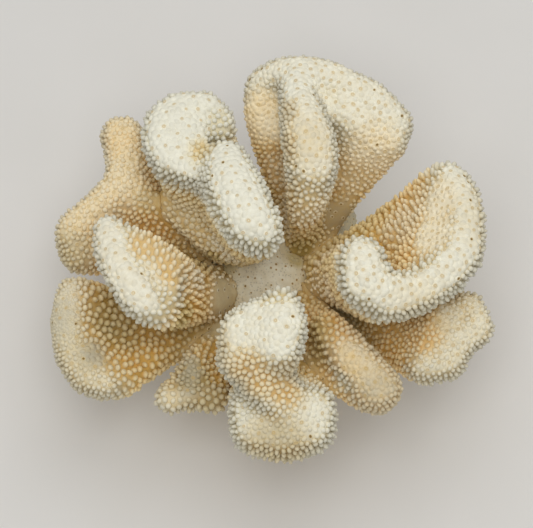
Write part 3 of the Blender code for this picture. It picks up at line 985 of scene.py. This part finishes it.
def crowds_of(darts, rng):
    """The domes, thumbs and calices of one branch, with how deep in a pit each corner is."""
    calice = choose_calices(darts, rng)
    bare = (darts["smooth"] > BARE) | (darts["ground"][:, 2] < LOW)
    calice &= darts["ground"][:, 2] > LOW
    wart = ~(bare | calice)
    thumb = wart & (darts["length"] > THUMB_FROM)
    dome = wart & ~thumb
    count = len(bare)
    shrink = 1 - darts["smooth"]
    length = darts["length"] * MM * rng.uniform(*LENGTH_RANGE, count) * mix(WORN_LENGTH, 1.0, shrink)
    width = darts["gaps"] * MM / 2 * rng.uniform(*WIDTH_RANGE, count) * mix(WORN_WIDTH, 1.0, shrink)
    lean = darts["lean"] * rng.uniform(*LEAN_RANGE, count)
    crowds = []
    for shape, chosen in ((DOME, dome), (THUMB, thumb)):
        if chosen.any():
            measures = (width * darts["full"], length, lean, darts["back"], darts["taper"])
            crowd = set_out(shape, darts, chosen, *(values[chosen] for values in measures), rng)
            crowds.append((*crowd, np.zeros(len(crowd[2]))))
    if calice.any():
        crowds.append(calice_crowd(darts, calice, rng))
    counts = [int(dome.sum()), int(thumb.sum()), int(calice.sum())]
    return crowds, counts


crowds = {}
for number, (node_name, darts) in enumerate(wart_places.items()):
    rng = np.random.default_rng(CROWD_SEED + number)
    crowds[node_name], counts = crowds_of(darts, rng)
    print(node_name, "domes, thumbs, calices:", counts)

# %% [markdown]
# The finish is aragonite, a chalky mineral that grew as a felt of fine needles. It has no gloss, and it
# is so pale that light bounces from wart to wart, which makes the shadows between them soft and warm.
# That comes from the pale colours alone: Subsurface scattering was left out, because each wart starts
# inside the skin, and light that scatters under overlapping shells leaves dark rings round them. Fresh
# growth is white. Older flanks keep some organic colour: peach or tan on the tips, deeper in the ground
# between the warts, and olive where tissue dried. Grey is partly dust and partly painted shade on rims
# and low lobes that turn away from the lights, and the olive of the crevices is painted shade too.
#
# Each corner of the mesh carries how white, peach, olive and grey it is, and how high up its wart it sits.
# The nodes lay the stains, with the grey and olive that are partly painted shade, one after the other
# over a tan ground, and slow clouds of noise make them uneven.

# %% Stains
COLOURS = {             # colour of the ground between the warts, and of their tips
    "tan": ("#dab967", "#f0dfac"),
    "peach": ("#e6b667", "#f7dca6"),
    "olive": ("#a2863f", "#d3bf84"),
    "grey": ("#989180", "#b4b09f"),
    "white": ("#e6d8ae", "#efecda"),
}
TIP_FROM, TIP_TO = 0.00, 0.50       # share of a wart's length over which the ground's colour gives way
BLOTCH = 0.14                       # how far the clouds push a stain's share up or down


def stained_and_shaded(tree, value, cloud, mottle):
    """The colour of the skeleton before its pits, from the values on the mesh and two clouds of noise."""
    # the ground's colour and the tips' colour are mixed side by side, and the grey, partly dust and partly
    # painted shade, is laid on last
    layers = [linear(colour) for colour in COLOURS["tan"]]
    for name in ("peach", "olive", "white", "grey"):
        # the clouds push a share up or down, but never where there is none of it
        blotch = cloud if name == "olive" else mottle
        ends = {"From_Min": 0.25, "From_Max": 0.75, "To_Min": -BLOTCH, "To_Max": BLOTCH}
        push = add_node(tree, "MapRange", Value=blotch, **ends)
        pushed = add_node(tree, "Math", {"operation": "ADD"}, n0=value[name], n1=push)
        some = add_node(tree, "MapRange", Value=value[name], From_Max=0.1)
        share = add_node(tree, "Math", {"operation": "MULTIPLY"}, n0=pushed, n1=some)
        layers = [
            add_node(tree, "Mix", COLOUR_MIX, out=2, n0=share, n6=layer, n7=linear(stain))
            for layer, stain in zip(layers, COLOURS[name])
        ]
    tip = add_node(tree, "MapRange", Value=value["rise"], From_Min=TIP_FROM, From_Max=TIP_TO)
    return add_node(tree, "Mix", COLOUR_MIX, out=2, n0=tip, n6=layers[0], n7=layers[1])


print("ground and tip colours:", COLOURS)

# %% [markdown]
# A calice darkens towards its middle, partly as a stain and partly as painted shade of the pit, and one
# that has broken open is painted dark brown inside, as painted shade of the hole. Where the skin is worn,
# the skeleton shows its fine pores. There are far too many to model, so Voronoi cells draw them: a cell's
# middle is a hole, painted darker as shade.

# %% Pits and pores
# the pit colours are partly stain and partly painted shade of the pits
PIT_COLOUR, OPEN_PIT_SHADE_COLOUR = "#cda959", "#6b5024"
PIT_MOST, OPEN_PIT_MOST = 0.75, 0.9     # how much of these colours there is at the deepest
PORE_SIZE = 0.9 * MM                    # from one pore to the next


def pitted(tree, colour, pit):
    """The colour with its pits: up to 1 a place is in a closed calice, and from 1 to 2 in an open one."""
    # painted shade: closed calices are painted tan, partly stain and partly the shade of the pit, and open
    # ones dark brown, the shade of a hole
    for start, most, stain in ((0.0, PIT_MOST, PIT_COLOUR), (1.0, OPEN_PIT_MOST, OPEN_PIT_SHADE_COLOUR)):
        ends = {"From_Min": start, "From_Max": start + 1.0, "To_Max": most}
        deep = add_node(tree, "MapRange", Value=pit, **ends)
        colour = add_node(tree, "Mix", COLOUR_MIX, out=2, n0=deep, n6=colour, n7=linear(stain))
    return colour


def worn_pores(tree, place, worn):
    """1 in a pore and 0 beside it, and only where the skin is worn."""
    cells = add_node(tree, "TexVoronoi", out="Distance", Vector=place, Scale=1 / PORE_SIZE)
    hole = add_node(tree, "MapRange", Value=cells, From_Min=0.34, From_Max=0.12)
    bare = add_node(tree, "MapRange", Value=worn, From_Min=0.5, From_Max=0.9)
    return add_node(tree, "Math", {"operation": "MULTIPLY"}, n0=hole, n1=bare)


print("pores in 10 mm of worn skin:", round(10 * MM / PORE_SIZE))

# %% [markdown]
# The whole finish is put together from these. Each wart gets a tone of its own, so that no two are quite
# alike, and a grain much finer than a wart breaks up the roughness and the surface, as the felt of needles
# does. The pores are pressed in with a Bump, which is enough for holes that nobody sees from the side, and
# they are painted darker as painted shade.

# %% Bleached aragonite
CLOUD_SIZE = 11 * MM        # slow stains
MOTTLE_SIZE = 2.2 * MM      # stains a little wider than a wart
GRAIN_SIZE = 0.35 * MM      # real needles are 0.05 mm and wouldn't show, so these are coarser
GRAIN_HEIGHT = 0.05 * MM
PORE_HEIGHT = 0.15 * MM
CHALK = {"IOR": 1.53, "Specular_IOR_Level": 0.25}   # of aragonite, and with half the usual gloss


def bleached_aragonite():
    """Chalk-white to tan coral skeleton. The colours come from the mesh's own values."""
    material, tree, place = start_material("bleached_aragonite")
    cloud, mottle, grain = (
        add_node(tree, "TexNoise", Vector=place, Scale=1 / size, Detail=detail)
        for size, detail in ((CLOUD_SIZE, 2.0), (MOTTLE_SIZE, 2.0), (GRAIN_SIZE, 3.0))
    )
    value = {
        name: add_node(tree, "Attribute", {"attribute_name": name}, out="Fac")
        for name in (*STAINS_AND_SHADE, "rise", "pit", "tone", "worn")
    }
    colour = pitted(tree, stained_and_shaded(tree, value, cloud, mottle), value["pit"])
    pore = worn_pores(tree, place, value["worn"])

    # single warts and small patches are a little lighter or darker than their neighbours, and the pores are
    # painted darker as painted shade
    shade = add_node(tree, "MapRange", Value=value["tone"], To_Min=0.93, To_Max=1.03)
    for source, ends in (
        (mottle, {"From_Min": 0.3, "From_Max": 0.7, "To_Min": 0.95, "To_Max": 1.03}),
        # painted shade: darker in the pores of worn skin
        (pore, {"To_Min": 1.0, "To_Max": 0.72}),
    ):
        step = add_node(tree, "MapRange", Value=source, **ends)
        shade = add_node(tree, "Math", {"operation": "MULTIPLY"}, n0=shade, n1=step)
    light = add_node(tree, "CombineColor", n0=shade, n1=shade, n2=shade)
    colour = add_node(tree, "Mix", COLOUR_TIMES, out=2, n0=1.0, n6=colour, n7=light)

    ends = {"From_Min": 0.3, "From_Max": 0.7, "To_Min": 0.62, "To_Max": 0.86}
    dull = add_node(tree, "MapRange", Value=grain, **ends)
    felt = add_node(tree, "Bump", Strength=0.6, Distance=GRAIN_HEIGHT, Height=grain)
    sunk = {"Strength": 0.8, "Distance": PORE_HEIGHT, "Height": pore, "Normal": felt}
    relief = add_node(tree, "Bump", {"invert": True}, **sunk)
    dress_shader(tree, colour, dull, relief, **CHALK)
    return material


aragonite = bleached_aragonite()
print("nodes in the finish:", len(aragonite.node_tree.nodes))

# %% [markdown]
# The cut under the foot shows the inside of the skeleton: it is whiter than the outside, because no dirt
# got in, it is full of small round pores where polyps once sat, and the blade left faint parallel marks.
# Voronoi cells give the pores, which are painted darker inside as painted shade, and a Wave texture the
# marks, pushed out of true by noise so that they look sawn by hand.

# %% Sawn aragonite
SAWN_PORE = 1.3 * MM        # the calices of a cauliflower coral are about 1 mm wide and stand close
SAW_MARK = 1.1 * MM         # real marks are nearer 0.5 mm and would blur into grey
SAWN_PORE_DEPTH = 0.3 * MM
SAW_MARK_DEPTH = 0.08 * MM
# painted shade: the pores of the cut are painted darker, as the shade inside a hole
SAWN_COLOUR, SAWN_PORE_SHADE = "#e2d9c3", "#9b8c6b"


def sawn_aragonite():
    """The porous inside of the skeleton, as a saw leaves it."""
    material, tree, place = start_material("sawn_aragonite")
    grain = add_node(tree, "TexNoise", Vector=place, Scale=1 / GRAIN_SIZE, Detail=3.0)
    cells = add_node(tree, "TexVoronoi", out="Distance", Vector=place, Scale=1 / SAWN_PORE)
    hollow = add_node(tree, "MapRange", Value=cells, From_Min=0.42, From_Max=0.22)
    # one band of the Wave texture is about 2 pi / 20 of a unit at a scale of 1
    bands = 2 * math.pi / 20 / SAW_MARK
    marks = add_node(tree, "TexWave", out="Fac", Vector=place, Scale=bands, Distortion=1.5)
    # painted shade: darker in the pores
    ends = {"n6": linear(SAWN_COLOUR), "n7": linear(SAWN_PORE_SHADE)}
    colour = add_node(tree, "Mix", COLOUR_MIX, out=2, n0=hollow, **ends)
    dull = add_node(tree, "MapRange", Value=grain, To_Min=0.74, To_Max=0.94)
    scratch = add_node(tree, "Bump", Strength=0.4, Distance=SAW_MARK_DEPTH, Height=marks)
    sunk = {"Strength": 0.9, "Distance": SAWN_PORE_DEPTH, "Height": hollow, "Normal": scratch}
    relief = add_node(tree, "Bump", {"invert": True}, **sunk)
    dress_shader(tree, colour, dull, relief, **CHALK)
    return material


sawn = sawn_aragonite()
print("nodes in the sawn face:", len(sawn.node_tree.nodes))

# %% [markdown]
# Every branch is now joined into one mesh: its skin and its warts. Joining thousands of objects in
# Blender would take minutes, so the arrays are put end to end instead and given to the mesh in one go.
# The looks are kept on its corners as attributes, with the names that the finish reads.

# %% Join the skins and the warts
NEUTRAL_TONE = 0.5          # the bare ground is neither lighter nor darker than its neighbours


def mesh_from_arrays(name, corners, faces):
    """A smooth mesh from its corners and triangles."""
    mesh = bpy.data.meshes.new(name)
    mesh.vertices.add(len(corners))
    mesh.vertices.foreach_set("co", corners.astype(np.float32).ravel())
    mesh.loops.add(faces.size)
    mesh.loops.foreach_set("vertex_index", faces.astype(np.int32).ravel())
    mesh.polygons.add(len(faces))
    mesh.polygons.foreach_set("loop_start", np.arange(0, faces.size, 3, dtype=np.int32))
    mesh.update(calc_edges=True)
    mesh.polygons.foreach_set("use_smooth", np.ones(len(faces), bool))
    return mesh


def store(mesh, name, values):
    """Keeps one number for each corner of a mesh, under a name."""
    layer = mesh.attributes.new(name, "FLOAT", "POINT")
    layer.data.foreach_set("value", np.ascontiguousarray(values, np.float32))


def warty_mesh(name, skin, darts, crowds, rng):
    """One mesh of the skin and its crowds of warts, with the looks kept on its corners."""
    corners, faces, base = [skin["ground"]], [skin["corners"]], len(skin["ground"])
    stored = {key: [skin[key]] for key in STAINS_AND_SHADE}
    stored["rise"], stored["pit"] = [least_rise(skin["length"] * MM)], [np.zeros(base)]
    stored["tone"], stored["worn"] = [np.full(base, NEUTRAL_TONE)], [skin["smooth"] * skin["wears"]]
    tones = rng.random(len(darts["below"]))
    for crowd_corners, crowd_faces, rise, owner, pit in crowds:
        corners.append(crowd_corners)
        faces.append(crowd_faces + base)
        base += len(crowd_corners)
        for key in STAINS_AND_SHADE:
            stored[key].append(darts[key][owner])
        stored["rise"].append(rise)
        stored["pit"].append(pit)
        stored["tone"].append(tones[owner])
        stored["worn"].append(np.zeros(len(owner)))
    mesh = mesh_from_arrays(name, np.concatenate(corners), np.concatenate(faces))
    for key, values in stored.items():
        store(mesh, key, np.concatenate(values))
    return mesh


TONE_SEED = 300     # each branch adds its own number
meshes = {}
for number, (node_name, skin) in enumerate(skins.items()):
    rng = np.random.default_rng(TONE_SEED + number)
    name = "warty_" + node_name
    meshes[node_name] = warty_mesh(name, skin, wart_places[node_name], crowds[node_name], rng)
    print(name, "triangles:", len(meshes[node_name].polygons))

# %% [markdown]
# Last, each mesh becomes a piece. It rides on the one body and takes the place of the smooth envelope,
# which is hidden. The faces of the cut are the only flat ones, and they get the sawn finish.

# %% Dress the pieces
triangle_total = 0
for node_name, mesh in meshes.items():
    skin = skins[node_name]
    mesh.materials.append(aragonite)
    if node_name == "trunk_and_foot":
        mesh.materials.append(sawn)
        under = skin["ground"][skin["corners"]][:, :, 2].max(axis=1) < CUT_LEVEL
        for face in np.flatnonzero(under):
            mesh.polygons[face].material_index = 1
            mesh.polygons[face].use_smooth = False
        print("sawn faces:", int(under.sum()))
    piece = bpy.data.objects.new(mesh.name, mesh)
    bpy.context.scene.collection.objects.link(piece)
    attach(piece, "root")
    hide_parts(node_name)
    triangle_total += len(mesh.polygons)
print("triangles in all:", triangle_total)
